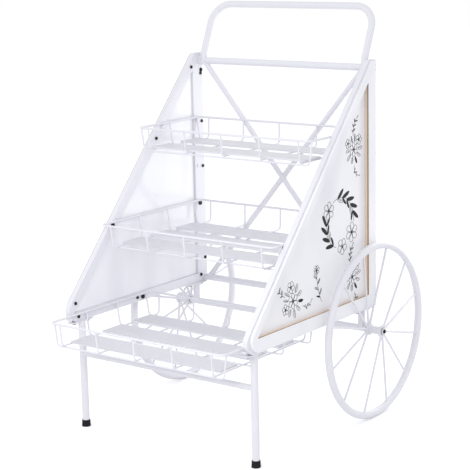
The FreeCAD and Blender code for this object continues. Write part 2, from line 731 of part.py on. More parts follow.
def check(cart):
    """Stop if any object failed or any sub-part is not sound."""
    cart.doc.recompute()
    for obj in cart.doc.Objects:
        if "Invalid" in obj.State or "Error" in obj.State:
            raise RuntimeError("%s failed: %s" % (obj.Label, obj.State))
    for obj in cart.parts:
        if obj.Shape.isNull() or not obj.Shape.isValid() or not obj.Shape.Solids:
            raise RuntimeError("%s has no sound shape" % obj.Label)


def write(cart):
    """Write each sub-part to its own file."""
    os.makedirs("parts", exist_ok=True)
    for obj in cart.parts:
        obj.Shape.exportStep(os.path.join("parts", obj.Label + ".step"))
        box = obj.Shape.BoundBox
        print("%-22s %2d solids  %9.0f mm3  z %6.1f to %6.1f" % (
            obj.Label, len(obj.Shape.Solids), obj.Shape.Volume, box.ZMin, box.ZMax))


def main():
    """Build the cart, check it and write its parts."""
    cart = Cart()
    handle_bar, crossbar, handle_bolts = make_handle(cart)
    make_ladder(cart, handle_bar, crossbar, handle_bolts)
    tray_bolts = cart.part(cart.feature("tray_clamps", tray_fasteners(cart.size)), "tray_bolts")
    make_panels(cart, tray_bolts)
    make_trays(cart)
    sleeve = make_axle(cart)
    make_legs(cart, sleeve)
    make_wheels(cart)
    check(cart)
    write(cart)


main()
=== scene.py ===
"""Flower cart stand: the looks of a white wheeled plant display with stepped wire trays.

Metres, +Z up, the front at -Y, right side at +X.  Places follow the CAD frame.  The pieces made
here are the bent tray wires, the lower tray's boards, the handle tube, the wheels, the cap nuts,
two screw heads, the side boards with their borders, and the printed flowers.
"""
from __future__ import annotations

import json
import logging
import math
from dataclasses import dataclass, field
from enum import Enum
from typing import Any, Sequence

import bpy
from mathutils import Matrix, Vector

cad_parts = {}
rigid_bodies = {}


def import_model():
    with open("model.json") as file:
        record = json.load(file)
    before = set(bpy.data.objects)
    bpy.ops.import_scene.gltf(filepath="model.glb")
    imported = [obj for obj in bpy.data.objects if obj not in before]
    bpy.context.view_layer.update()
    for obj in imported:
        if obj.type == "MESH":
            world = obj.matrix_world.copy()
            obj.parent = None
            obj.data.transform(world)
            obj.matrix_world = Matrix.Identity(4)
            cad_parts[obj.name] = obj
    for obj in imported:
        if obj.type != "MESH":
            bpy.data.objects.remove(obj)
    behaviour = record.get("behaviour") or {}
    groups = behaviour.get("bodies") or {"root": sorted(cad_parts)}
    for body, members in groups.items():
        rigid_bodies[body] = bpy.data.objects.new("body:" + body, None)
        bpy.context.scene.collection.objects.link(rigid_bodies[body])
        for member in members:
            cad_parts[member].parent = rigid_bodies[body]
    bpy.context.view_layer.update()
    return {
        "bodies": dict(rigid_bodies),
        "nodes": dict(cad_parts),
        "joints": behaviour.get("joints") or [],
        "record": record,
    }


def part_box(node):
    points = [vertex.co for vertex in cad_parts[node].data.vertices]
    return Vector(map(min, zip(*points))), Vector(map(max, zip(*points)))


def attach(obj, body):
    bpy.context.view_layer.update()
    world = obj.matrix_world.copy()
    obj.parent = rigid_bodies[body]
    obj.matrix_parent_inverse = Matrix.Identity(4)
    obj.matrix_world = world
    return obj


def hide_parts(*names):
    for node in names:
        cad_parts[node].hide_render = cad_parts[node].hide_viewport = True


LOG = logging.getLogger("flower_cart")
MM = 0.001

Colour = tuple[float, float, float, float]
Place = tuple[float, float]
Outline = list[Place]
Path = tuple[list[Vector], bool]
BLACK: Colour = (0.0, 0.0, 0.0, 1.0)
WHITE: Colour = (1.0, 1.0, 1.0, 1.0)


class Side(Enum):
    """Which side of the cart, seen from the front."""

    LEFT = -1
    RIGHT = 1

    @property
    def word(self) -> str:
        """The side's word in node and body names."""
        return self.name.lower()


# ---- shader helpers

class Signal:
    """A shader socket that builds Math nodes when it is used in an expression."""

    def __init__(self, sheet: NodeSheet, socket: bpy.types.NodeSocket) -> None:
        """Wrap one output socket."""
        self.sheet = sheet
        self.socket = socket

    def _math(self, operation: str, *values: Any) -> Signal:
        """Add one Math node.

        Args:
            operation: the node's operation.
            values: its inputs, as numbers or signals.

        Returns:
            The node's output.
        """
        return self.sheet.add("ShaderNodeMath", {"operation": operation}, dict(enumerate(values)))

    def __add__(self, other: Any) -> Signal:
        """Sum."""
        return self._math("ADD", self, other)

    def __radd__(self, other: Any) -> Signal:
        """Sum, reflected."""
        return self._math("ADD", other, self)

    def __sub__(self, other: Any) -> Signal:
        """Difference."""
        return self._math("SUBTRACT", self, other)

    def __mul__(self, other: Any) -> Signal:
        """Product."""
        return self._math("MULTIPLY", self, other)

    def __gt__(self, other: Any) -> Signal:
        """1 where this is greater."""
        return self._math("GREATER_THAN", self, other)

    def __lt__(self, other: Any) -> Signal:
        """1 where this is less."""
        return self._math("LESS_THAN", self, other)

    def highest(self, other: Any) -> Signal:
        """The larger of two values."""
        return self._math("MAXIMUM", self, other)


class NodeSheet:
    """The node tree of one material, with a method that adds any node."""

    def __init__(self, name: str) -> None:
        """Start an empty material with one Principled shader.

        Args:
            name: the material's name.
        """
        self.material = bpy.data.materials.new(name)
        self.material.use_nodes = True
        self.nodes = self.material.node_tree.nodes
        self.links = self.material.node_tree.links
        self.shader = self.nodes["Principled BSDF"]

    def plug(self, target: bpy.types.NodeSocket, value: Any) -> None:
        """Link or set one input.

        Args:
            target: the input.
            value: a signal to link or a value to set.
        """
        if isinstance(value, Signal):
            self.links.new(value.socket, target)
        else:
            target.default_value = value

    def add(self, kind: str, settings: dict[str, Any], inputs: dict[Any, Any],
            output: Any = 0) -> Signal:
        """Add a node.

        Args:
            kind: the node's type.
            settings: properties that are set first.
            inputs: values or signals by input name or index.
            output: name or index of the output to return.

        Returns:
            The chosen output.
        """
        node = self.nodes.new(kind)
        for key, value in settings.items():
            setattr(node, key, value)
        for key, value in inputs.items():
            self.plug(node.inputs[key], value)
        return Signal(self, node.outputs[output])

    def place(self, scale: tuple[float, float, float] = (1.0, 1.0, 1.0)) -> Signal:
        """Object coordinates, scaled."""
        here = self.add("ShaderNodeTexCoord", {}, {}, "Object")
        return self.add("ShaderNodeMapping", {}, {"Vector": here, "Scale": scale})

    def noise(self, where: Signal, scale: float, detail: float = 3.0) -> Signal:
        """A cloudy value between 0 and 1."""
        inputs = {"Vector": where, "Scale": scale, "Detail": detail}
        return self.add("ShaderNodeTexNoise", {}, inputs)

    def axes(self, vector: Signal) -> tuple[Signal, ...]:
        """The x, y and z of a vector."""
        split = self.add("ShaderNodeSeparateXYZ", {}, {0: vector})
        return tuple(Signal(self, output) for output in split.socket.node.outputs)

    def mix(self, factor: Any, first: Any, second: Any) -> Signal:
        """Blend two colours."""
        return self.add("ShaderNodeMix", {"data_type": "RGBA"}, {0: factor, 6: first, 7: second}, 2)

    def bump(self, height: Signal, strength: float, distance: float) -> None:
        """Feed a height to the shader's normal.

        Args:
            height: the height's signal.
            strength: share of the bump that is used.
            distance: height of the bump in metres.
        """
        node = self.add("ShaderNodeBump", {}, {"Height": height, "Strength": strength,
                                                "Distance": distance})
        self.plug(self.shader.inputs["Normal"], node)

    def set(self, **values: Any) -> None:
        """Set the shader's own inputs; an underscore stands for a space."""
        for key, value in values.items():
            self.plug(self.shader.inputs[key.replace("_", " ")], value)


@dataclass(frozen=True)
class PaintedSteel:
    """White powder coat: faint orange peel, and slightly greyer where it is thin."""

    name: str = "white_powder_coat"
    paint: Colour = (0.785, 0.78, 0.825, 1.0)
    thin: Colour = (0.74, 0.735, 0.78, 1.0)
    roughness: float = 0.34

    def build(self) -> bpy.types.Material:
        """Make the material."""
        sheet = NodeSheet(self.name)
        where = sheet.place()
        patches = sheet.noise(where, 9.0)
        peel = sheet.noise(where, 420.0, 2.0)
        sheet.set(Base_Color=sheet.mix(patches * 0.5, self.paint, self.thin),
                  Roughness=self.roughness + peel * 0.1, Coat_Weight=0.25, Coat_Roughness=0.12)
        sheet.bump(peel, 0.06, 0.0004)
        return sheet.material


@dataclass(frozen=True)
class LacqueredBoard:
    """Fibreboard with a smooth white face, clouded with painted shade streaks that stand in for
    soft reflections, and, where asked, brown sawn edges.

    The sawn wood shows at the window's rear edge and sill only.  A painted shadow line darkens the
    inner part of the left border's sloping edge, just behind the frame.  facing and half_facing are
    the least parts of a surface's normal that count as turned one way.
    """

    name: str = "white_lacquered_board"
    face: Colour = (0.88, 0.88, 0.905, 1.0)
    # painted shade: the darker colour of the streaks that stand in for soft reflections on the face
    painted_streak_shade: Colour = (0.77, 0.77, 0.815, 1.0)
    sawn: Colour = (0.60, 0.37, 0.19, 1.0)
    # dark fibre of the sawn edge's streaks, also the colour of the painted shadow line behind the
    # frame
    dark_fibre_and_gap_shadow: Colour = (0.30, 0.17, 0.085, 1.0)
    raw_edges: bool = False
    window_rear_y: float = 0.183
    window_sill_z: float = 0.345
    # painted shadow: the left border's sloping edge is darkened from its back out to this x
    gap_shadow_x: float = -0.3046
    cream_x: float = 0.3005
    cream: Colour = (0.82, 0.70, 0.56, 1.0)
    # painted shadow: the darker, greyer fibre that the sawn edge turns to higher up
    painted_shadow_fibre: Colour = (0.33, 0.28, 0.24, 1.0)
    roughness: float = 0.22
    # where and how steeply the painted shade streaks set in
    painted_streak_from: float = 0.42
    painted_streak_gain: float = 2.4
    # height above which the painted shadow sets in on the sawn edge, and how steeply
    shadow_from_z: float = 0.5
    shadow_gain: float = 1.6
    facing: float = 0.9
    half_facing: float = 0.5

    def sawn_face(self, sheet: NodeSheet, where: Signal) -> Signal:
        """The sawn edge's colour: streaked fibre, darkened higher up by painted shadow, with a
        cream inner layer.

        Args:
            sheet: the material's sheet.
            where: object coordinates.

        Returns:
            The colour.
        """
        across, _, level = sheet.axes(where)
        depth = sheet.add("ShaderNodeMath", {"operation": "ABSOLUTE"}, {0: across})
        streaks = sheet.noise(sheet.place((1.0, 40.0, 40.0)), 12.0, 5.0)
        fibre = sheet.mix(streaks, self.sawn, self.dark_fibre_and_gap_shadow)
        # painted shadow: the sawn edge darkens towards its top
        shadowed = sheet.mix((level - self.shadow_from_z) * self.shadow_gain, fibre, self.painted_shadow_fibre)
        return sheet.mix(depth < self.cream_x, shadowed, self.cream)

    def build(self) -> bpy.types.Material:
        """Make the material: a face clouded with painted shade streaks, and sawn edges where they
        are asked for.
        """
        sheet = NodeSheet(self.name)
        where = sheet.place()
        # painted shade: soft darker streaks clouded over the face stand in for reflections on the
        # gloss
        cloud = sheet.noise(sheet.place((1.0, 2.6, 1.0)), 4.0, 1.0)
        colour = sheet.mix((cloud - self.painted_streak_from) * self.painted_streak_gain, self.face, self.painted_streak_shade)
        fine = sheet.noise(where, 900.0, 4.0)
        rough: Any = self.roughness + fine * 0.05
        if self.raw_edges:
            normal = sheet.add("ShaderNodeNewGeometry", {}, {}, "Normal")
            _, rearward, upward = sheet.axes(normal)
            across, along, level = sheet.axes(where)
            rear_edge = (rearward < -self.facing) * (along > self.window_rear_y)
            sill = (upward > self.facing) * (level < self.window_sill_z)
            edge = rear_edge.highest(sill)
            # painted shadow: a dark line on the left border's sloping edge just behind the frame
            gap_shadow = ((across < 0.0) * (across > self.gap_shadow_x)
                   * (rearward < -self.half_facing) * (upward > self.half_facing))
            colour = sheet.mix(edge, colour, self.sawn_face(sheet, where))
            colour = sheet.mix(gap_shadow, colour, self.dark_fibre_and_gap_shadow)
            rough = rough + edge * 0.5
        sheet.set(Base_Color=colour, Roughness=rough, Coat_Weight=0.4, Coat_Roughness=0.08)
        sheet.bump(fine, 0.03, 0.0002)
        return sheet.material


@dataclass(frozen=True)
class SlatFace:
    """Flat boards in the trays: pale grey-white with fine lines along their length."""

    name: str = "pale_ribbed_slat"
    light: Colour = (0.80, 0.80, 0.83, 1.0)
    line: Colour = (0.62, 0.62, 0.66, 1.0)

    def build(self) -> bpy.types.Material:
        """Make the material."""
        sheet = NodeSheet(self.name)
        grain = sheet.noise(sheet.place((2.0, 120.0, 120.0)), 4.0, 4.0)
        wave = sheet.add("ShaderNodeTexWave", {"bands_direction": "Y"},
                         {"Vector": sheet.place(), "Scale": 45.0, "Distortion": 0.4,
                          "Detail": 1.0}, "Fac")
        mask = wave * 0.45 + grain * 0.5
        sheet.set(Base_Color=sheet.mix(mask, self.light, self.line), Roughness=0.42 + grain * 0.1,
                  Coat_Weight=0.1)
        sheet.bump(wave, 0.15, 0.0005)
        return sheet.material


@dataclass(frozen=True)
class DarkFinish:
    """Black rubber, black screws and printing ink."""

    name: str
    colour: Colour = (0.012, 0.012, 0.014, 1.0)
    roughness: float = 0.5
    metallic: float = 0.0
    grain: float = 260.0
    specular: float = 0.12
    speck_gain: float = 2.2

    def build(self) -> bpy.types.Material:
        """Make the material."""
        sheet = NodeSheet(self.name)
        speck = sheet.noise(sheet.place(), self.grain)
        lighter = tuple(min(1.0, c * self.speck_gain) for c in self.colour[:3]) + (1.0,)
        sheet.set(Base_Color=sheet.mix(speck * 0.6, self.colour, lighter),
                  Roughness=self.roughness + speck * 0.12, Metallic=self.metallic,
                  Specular_IOR_Level=self.specular)
        sheet.bump(speck, 0.08, 0.0003)
        return sheet.material


@dataclass(frozen=True)
class ZincSteel:
    """Plated steel of the axle and washers."""

    name: str = "zinc_plated_steel"
    colour: Colour = (0.50, 0.50, 0.51, 1.0)

    def build(self) -> bpy.types.Material:
        """Make the material."""
        sheet = NodeSheet(self.name)
        streak = sheet.noise(sheet.place((400.0, 20.0, 20.0)), 3.0)
        sheet.set(Base_Color=self.colour, Metallic=1.0, Roughness=0.28 + streak * 0.2)
        return sheet.material


@dataclass(frozen=True)
class StudioFloor:
    """The seamless white sweep; what the camera sees of it is near white, shadow kept."""

    name: str = "white_sweep"
    colour: Colour = (0.93, 0.93, 0.935, 1.0)
    cloud: Colour = (0.90, 0.90, 0.91, 1.0)
    glow: float = 0.2

    def build(self) -> bpy.types.Material:
        """Make the material."""
        sheet = NodeSheet(self.name)
        cloud = sheet.noise(sheet.place(), 1.5)
        seen = sheet.add("ShaderNodeLightPath", {}, {}, "Is Camera Ray")
        sheet.set(Base_Color=sheet.mix(cloud * 0.2, self.colour, self.cloud),
                  Roughness=0.8, Emission_Strength=self.glow,
                  Emission_Color=sheet.mix(seen, BLACK, WHITE))
        return sheet.material


# ---- bent wires by geometry nodes

def new_object(name: str, data: bpy.types.ID) -> bpy.types.Object:
    """Add an object to the scene.

    Args:
        name: its name.
        data: its mesh, curve, lamp or camera.

    Returns:
        The object.
    """
    piece = bpy.data.objects.new(name, data)
    bpy.context.scene.collection.objects.link(piece)
    return piece


def settled_mesh(holder: bpy.types.Object) -> bpy.types.Mesh:
    """The mesh that an object's modifiers or curve settings give.

    Args:
        holder: the object, which is removed.

    Returns:
        The mesh.
    """
    bpy.context.view_layer.update()
    graph = bpy.context.evaluated_depsgraph_get()
    mesh = bpy.data.meshes.new_from_object(holder.evaluated_get(graph))
    bpy.data.objects.remove(holder)
    return mesh


class BentWireTree:
    """A geometry node tree that turns edge paths into round wires with rounded bends."""

    def __init__(self) -> None:
        """Build the tree once."""
        self.tree = bpy.data.node_groups.new("bent_wires", "GeometryNodeTree")
        face = self.tree.interface
        face.new_socket("Geometry", in_out="INPUT", socket_type="NodeSocketGeometry")
        self.ids: dict[str, str] = {}
        for label, kind in (("Wire Radius", "NodeSocketFloat"), ("Bend Radius", "NodeSocketFloat"),
                            ("Sides", "NodeSocketInt"), ("Bend Steps", "NodeSocketInt"),
                            ("Finish", "NodeSocketMaterial")):
            self.ids[label] = face.new_socket(label, in_out="INPUT", socket_type=kind).identifier
        face.new_socket("Geometry", in_out="OUTPUT", socket_type="NodeSocketGeometry")
        nodes, link = self.tree.nodes, self.tree.links.new
        entry = nodes.new("NodeGroupInput")
        leave = nodes.new("NodeGroupOutput")
        curve = nodes.new("GeometryNodeMeshToCurve")
        fillet = nodes.new("GeometryNodeFilletCurve")
        fillet.mode = "POLY"
        circle = nodes.new("GeometryNodeCurvePrimitiveCircle")
        sweep = nodes.new("GeometryNodeCurveToMesh")
        smooth = nodes.new("GeometryNodeSetShadeSmooth")
        real = nodes.new("GeometryNodeRealizeInstances")
        paint = nodes.new("GeometryNodeSetMaterial")
        fillet.inputs["Limit Radius"].default_value = True
        sweep.inputs["Fill Caps"].default_value = True
        wiring = (
            (entry, "Geometry", curve, "Mesh"), (curve, "Curve", fillet, "Curve"),
            (entry, "Bend Radius", fillet, "Radius"), (entry, "Bend Steps", fillet, "Count"),
            (entry, "Wire Radius", circle, "Radius"), (entry, "Sides", circle, "Resolution"),
            (fillet, "Curve", sweep, "Curve"), (circle, "Curve", sweep, "Profile Curve"),
            (sweep, "Mesh", smooth, "Geometry"), (smooth, "Geometry", real, "Geometry"),
            (real, "Geometry", paint, "Geometry"), (entry, "Finish", paint, "Material"),
            (paint, "Geometry", leave, "Geometry"))
        for source, output, target, socket in wiring:
            link(source.outputs[output], target.inputs[socket])

    def wires(self, name: str, paths: Sequence[Path], radius: float, bend: float,
              finish: bpy.types.Material, sides: int = 14, steps: int = 6) -> bpy.types.Mesh:
        """Turn paths into one mesh of wires.

        Args:
            name: name of the mesh.
            paths: each a list of points and whether it closes on itself.
            radius: radius of the wire.
            bend: radius of its bends.
            finish: its material.
            sides: facets round the wire.
            steps: points along each bend.

        Returns:
            The finished mesh.
        """
        points: list[Vector] = []
        edges: list[tuple[int, int]] = []
        for path, closed in paths:
            first = len(points)
            points.extend(path)
            edges.extend((i, i + 1) for i in range(first, len(points) - 1))
            if closed:
                edges.append((len(points) - 1, first))
        guide = bpy.data.meshes.new(name + "_guide")
        guide.from_pydata([tuple(p) for p in points], edges, [])
        holder = new_object(name + "_guide", guide)
        modifier = holder.modifiers.new("wires", "NODES")
        modifier.node_group = self.tree
        values = {"Wire Radius": radius, "Bend Radius": bend, "Sides": sides, "Bend Steps": steps,
                  "Finish": finish}
        for label, value in values.items():
            modifier[self.ids[label]] = value
        mesh = settled_mesh(holder)
        mesh.name = name
        bpy.data.meshes.remove(guide)
        return mesh


def join_meshes(name: str, meshes: Sequence[bpy.types.Mesh]) -> bpy.types.Object:
    """One object from several meshes that share their places.

    Args:
        name: the object's name.
        meshes: the meshes, which are used up.

    Returns:
        The new object.
    """
    objects = [new_object(name, mesh) for mesh in meshes]
    if len(objects) > 1:
        with bpy.context.temp_override(active_object=objects[0], selected_objects=objects,
                                       selected_editable_objects=objects):
            bpy.ops.object.join()
    objects[0].name = name
    return objects[0]


def settle(piece: bpy.types.Object, body: str, nodes: Sequence[str] = ()) -> None:
    """Let a piece ride on a body and stand for nodes.

    Args:
        piece: the piece.
        body: the body it moves with.
        nodes: the nodes it is shown for, if any.
    """
    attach(piece, body)
    if nodes:
        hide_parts(*nodes)
    LOG.info("%s rides on %s", piece.name, body)


# ---- sub-assemblies

@dataclass
class WireTray:
    """The wires of one tray: a closed rim and wires bent down, across and up, both ways.

    A flare is how far a wall leans inwards from the rim to the floor.
    """

    word: str
    cross_wires: int
    rim_radius: float = 3.0 * MM
    wire_radius: float = 2.3 * MM
    rim_corner: float = 16 * MM
    wire_bend: float = 11 * MM
    wire_pitch: float = 123.4 * MM
    long_wires: int = 5
    side_flare: float = 9 * MM
    front_flare: float = 6 * MM
    rear_flare: float = 2 * MM
    depth: float = 59 * MM
    weld_sink: float = 0.4 * MM

    def build(self, tree: BentWireTree, steel: bpy.types.Material) -> None:
        """Make the wires.

        Args:
            tree: the bent wire tree.
            steel: the powder coat.
        """
        low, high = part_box(self.word + "_basket")
        half = high.x - self.rim_radius
        front, rear = low.y + self.rim_radius, high.y - self.rim_radius
        rim_z = high.z - self.rim_radius
        floor = rim_z - self.depth
        under = floor - 2 * self.wire_radius + self.weld_sink
        ring = [Vector((half, front, rim_z)), Vector((half, rear, rim_z)),
                Vector((-half, rear, rim_z)), Vector((-half, front, rim_z))]
        rim = tree.wires(self.word + "_rim", [(ring, True)], self.rim_radius, self.rim_corner,
                         steel, sides=18, steps=8)
        paths: list[Path] = []
        for i in range(self.long_wires):
            x = (i - (self.long_wires - 1) / 2) * self.wire_pitch
            wire = [Vector((x, front, rim_z)), Vector((x, front + self.front_flare, floor)),
                    Vector((x, rear - self.rear_flare, floor)), Vector((x, rear, rim_z))]
            paths.append((wire, False))
        margin = (rear - front - (self.cross_wires - 1) * self.wire_pitch) / 2
        for i in range(self.cross_wires):
            y = front + margin + i * self.wire_pitch
            wire = [Vector((-half, y, rim_z)), Vector((self.side_flare - half, y, under)),
                    Vector((half - self.side_flare, y, under)), Vector((half, y, rim_z))]
            paths.append((wire, False))
        inner = tree.wires(self.word + "_wires", paths, self.wire_radius, self.wire_bend, steel)
        tray = join_meshes(self.word + "_tray_wires", [rim, inner])
        settle(tray, "cart", [self.word + "_basket"])


@dataclass
class PushHandle:
    """The U-shaped handle of bent round tube."""

    radius: float = 9.5 * MM
    corner: float = 60 * MM
    knee_z: float = 965 * MM
    lean: float = 58 * MM

    def build(self, tree: BentWireTree, steel: bpy.types.Material) -> None:
        """Make the tube along its path.

        Args:
            tree: the bent wire tree.
            steel: the powder coat.
        """
        low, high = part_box("handle_tube")
        x = high.x - self.radius
        near = low.y + self.radius
        far = near + self.lean
        top = high.z - self.radius
        path = [Vector((-x, near, low.z)), Vector((-x, near, self.knee_z)), Vector((-x, far, top)),
                Vector((x, far, top)), Vector((x, near, self.knee_z)), Vector((x, near, low.z))]
        mesh = tree.wires("handle", [(path, False)], self.radius, self.corner, steel,
                          sides=32, steps=16)
        settle(join_meshes("push_handle", [mesh]), "cart", ["handle_tube"])


@dataclass
class SpokedWheel:
    """A wheel: round-tube rim and straight wire spokes to the two hub flanges.

    outer_spokes counts, from first_angle on, the spokes that start at the outer flange.
    """

    side: Side
    tube_radius: float = 10 * MM
    spoke_radius: float = 2.9 * MM
    spokes: int = 12
    first_angle: float = 15.0
    facets: int = 144
    flange_inset: float = 3 * MM
    flange_sink: float = 1 * MM
    outer_spokes: tuple[int, ...] = (0, 1, 8, 9, 10, 11)

    def build(self, tree: BentWireTree, steel: bpy.types.Material) -> None:
        """Make rim and spokes.

        Args:
            tree: the bent wire tree.
            steel: the powder coat.
        """
        word = self.side.word
        rim_low, rim_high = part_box("wheel_rim_" + word)
        hub_low, hub_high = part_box("wheel_hub_" + word)
        centre = (hub_low + hub_high) / 2
        x = (rim_low.x + rim_high.x) / 2
        radius = centre.z - self.tube_radius
        hub = Vector((x, centre.y, centre.z))
        ring = []
        for i in range(self.facets):
            turn = 2 * math.pi * i / self.facets
            ring.append(hub + Vector((0.0, radius * math.cos(turn), radius * math.sin(turn))))
        rim = tree.wires("rim", [(ring, True)], self.tube_radius, 0.0, steel, sides=28, steps=1)
        body = word + "_wheel"
        settle(join_meshes("round_rim_" + word, [rim]), body, ["wheel_rim_" + word])
        flange = (hub_high.z - hub_low.z) / 2
        ends = (hub_low.x + self.flange_inset, hub_high.x - self.flange_inset)
        inner, outer = ends if self.side is Side.RIGHT else (ends[1], ends[0])
        paths: list[Path] = []
        for i in range(self.spokes):
            turn = math.radians(self.first_angle + i * 360 / self.spokes)
            ray = Vector((0, math.cos(turn), math.sin(turn)))
            start_x = outer if i in self.outer_spokes else inner
            root = Vector((start_x, centre.y, centre.z)) + ray * (flange - self.flange_sink)
            tip = hub + ray * (radius - self.tube_radius / 2)
            paths.append(([root, tip], False))
        wires = tree.wires("spokes", paths, self.spoke_radius, 0.0, steel, sides=14, steps=1)
        spokes = join_meshes("wire_spokes_" + word, [wires])
        settle(spokes, body, ["wheel_spokes_" + word])


CORNER_STEPS = 12


@dataclass
class SidePanel:
    """A side's white board, set into its frame, and the thick border with the sawn window.

    Reach is measured forwards from the uprights' rear.  board_corner and window_corner give a
    triangle's rear reach, the height of its bottom and its inset from the sloping edge.
    """

    side: Side
    top_z: float = 965 * MM
    top_reach: float = 33.5 * MM
    slope: float = 48.16
    board_back: float = 289.6 * MM
    board_face: float = 293.6 * MM
    trim_back: float = 293.8 * MM
    trim_face: float = 306.0 * MM
    chamfer: float = 0.5 * MM
    board_corner: tuple[float, float, float] = (43.3 * MM, 321.3 * MM, 25.3 * MM)
    window_corner: tuple[float, float, float] = (49 * MM, 336 * MM, 26 * MM)
    window_radii: tuple[float, ...] = (1 * MM, 1.2 * MM, 1 * MM)
    border_rear: float = 14 * MM
    border_inset: float = 6 * MM
    border_radii: tuple[float, ...] = (3 * MM, 2 * MM, 2 * MM, 30 * MM)

    def reach(self, z: float, inset: float) -> float:
        """Reach of the line that lies inset inside the frame's sloping edge."""
        angle = math.radians(self.slope)
        return self.top_reach + (self.top_z - z) / math.tan(angle) - inset / math.sin(angle)

    def height(self, reach: float, inset: float) -> float:
        """Height of the same line at a reach."""
        angle = math.radians(self.slope)
        return self.top_z - (reach - self.top_reach + inset / math.sin(angle)) * math.tan(angle)

    def triangle(self, rear: float, bottom: float, inset: float) -> Outline:
        """Corners (reach, z) of a triangle along the slope, from its rear, bottom and inset."""
        top = self.height(rear, inset)
        return [(rear, bottom), (rear, top), (self.reach(bottom, inset), bottom)]

    def rounded(self, corners: Outline, radii: Sequence[float]) -> Outline:
        """Round the corners of an outline.

        Args:
            corners: the outline.
            radii: a radius for each corner.

        Returns:
            The outline's points.
        """
        points: Outline = []
        count = len(corners)
        for i, radius in enumerate(radii):
            here = Vector(corners[i])
            before = (Vector(corners[i - 1]) - here).normalized()
            after = (Vector(corners[(i + 1) % count]) - here).normalized()
            half = before.angle(after) / 2
            centre = here + (before + after).normalized() * (radius / math.sin(half))
            first = here + before * (radius / math.tan(half)) - centre
            last = here + after * (radius / math.tan(half)) - centre
            for k in range(CORNER_STEPS + 1):
                share = k / CORNER_STEPS
                mixed = (first * (1 - share) + last * share).normalized() * radius
                points.append(tuple(centre + mixed))
        return points

    def plate(self, name: str, outlines: Sequence[Outline], back: float, face: float,
              finish: bpy.types.Material) -> bpy.types.Object:
        """A flat plate with chamfered edges, between two distances from the middle.

        Args:
            name: its name.
            outlines: the outer outline and any window, as (reach, z).
            back: distance of its back from the middle plane.
            face: distance of its outer face.
            finish: its material.

        Returns:
            The plate.
        """
        curve = bpy.data.curves.new(name + "_outline", "CURVE")
        curve.dimensions = "2D"
        curve.fill_mode = "BOTH"
        curve.extrude = (face - back) / 2 - self.chamfer
        curve.bevel_depth = self.chamfer
        curve.bevel_resolution = 1
        curve.offset = -self.chamfer
        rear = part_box("rear_upright_" + self.side.word)[1].y
        for outline in outlines:
            spline = curve.splines.new("POLY")
            spline.points.add(len(outline) - 1)
            for point, (reach, z) in zip(spline.points, outline):
                point.co = (rear - reach, z, 0.0, 1.0)
            spline.use_cyclic_u = True
        mesh = settled_mesh(new_object(name + "_outline", curve))
        middle = self.side.value * (back + face) / 2
        mesh.transform(Matrix(((0, 0, 1, middle), (1, 0, 0, 0), (0, 1, 0, 0), (0, 0, 0, 1))))
        mesh.materials.clear()
        mesh.materials.append(finish)
        return join_meshes(name, [mesh])

    def build(self, board: bpy.types.Material, trim: bpy.types.Material) -> None:
        """Make the board and its border.

        Args:
            board: finish of the board.
            trim: finish of the border.
        """
        word = self.side.word
        opening = self.triangle(*self.board_corner)
        face = self.plate("panel_board_" + word, [opening], self.board_back, self.board_face, board)
        settle(face, "cart", ["side_board_" + word])
        low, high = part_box("side_trim_" + word)
        inset, rear = self.border_inset, self.border_rear
        outer = self.rounded([(rear, low.z), (rear, high.z), (self.reach(high.z, inset), high.z),
                              (self.reach(low.z, inset), low.z)], self.border_radii)
        window = self.rounded(self.triangle(*self.window_corner), self.window_radii)
        border = self.plate("panel_border_" + word, [outer, window], self.trim_back,
                            self.trim_face, trim)
        settle(border, "cart", ["side_trim_" + word])


def turned(name: str, stations: Sequence[Place], centre: Vector, inward: bool,
           finish: bpy.types.Material, segments: int = 36) -> bpy.types.Mesh:
    """A smooth turned shape about a line along X.

    Args:
        name: name of the mesh.
        stations: (x, radius) in metres along the profile.
        centre: a point on the line.
        inward: whether the stations run towards lower x.
        finish: its material.
        segments: facets round the shape.

    Returns:
        The mesh.
    """
    points = []
    faces = []
    for x, radius in stations:
        for k in range(segments):
            turn = 2 * math.pi * k / segments
            points.append((x, centre.y + radius * math.cos(turn),
                           centre.z + radius * math.sin(turn)))
    for row in range(len(stations) - 1):
        for k in range(segments):
            a, b = row * segments + k, row * segments + (k + 1) % segments
            face = (a, b, b + segments, a + segments)
            faces.append(face if inward else face[::-1])
    mesh = bpy.data.meshes.new(name)
    mesh.from_pydata(points, [], faces)
    mesh.materials.append(finish)
    for polygon in mesh.polygons:
        polygon.use_smooth = True
    return mesh


@dataclass
class AcornNut:
    """A small black acorn nut on a white collar at one end of the axle.

    A profile's points are shares of the way outwards and radii in millimetres.
    """

    side: Side
    collar: tuple[Place, ...] = (
        (0.0, 0.01), (0.0, 8.0), (0.12, 8.5), (0.3, 8.5), (0.36, 8.0), (0.36, 0.01))
    nut: tuple[Place, ...] = (
        (0.36, 0.01), (0.36, 5.6), (0.62, 5.6), (0.68, 5.2), (0.8, 4.6), (0.91, 3.4),
        (0.98, 1.7), (1.0, 0.01))

    def build(self, steel: bpy.types.Material, black: bpy.types.Material) -> None:
        """Turn the collar and the nut.

        Args:
            steel: finish of the collar.
            black: finish of the nut.
        """
        word = self.side.word
        low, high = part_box("axle_cap_nut_" + word)
        near, end = (low.x, high.x) if self.side is Side.RIGHT else (high.x, low.x)
        centre = (low + high) / 2
        meshes = []
        for name, profile, finish in (("collar", self.collar, steel),
                                      ("nut", self.nut, black)):
            stations = [(near + share * (end - near), radius * MM) for share, radius in profile]
            meshes.append(turned(name, stations, centre, self.side is Side.LEFT, finish))
        joined = join_meshes("acorn_nut_" + word, meshes)
        settle(joined, "cart", ["axle_cap_nut_" + word])


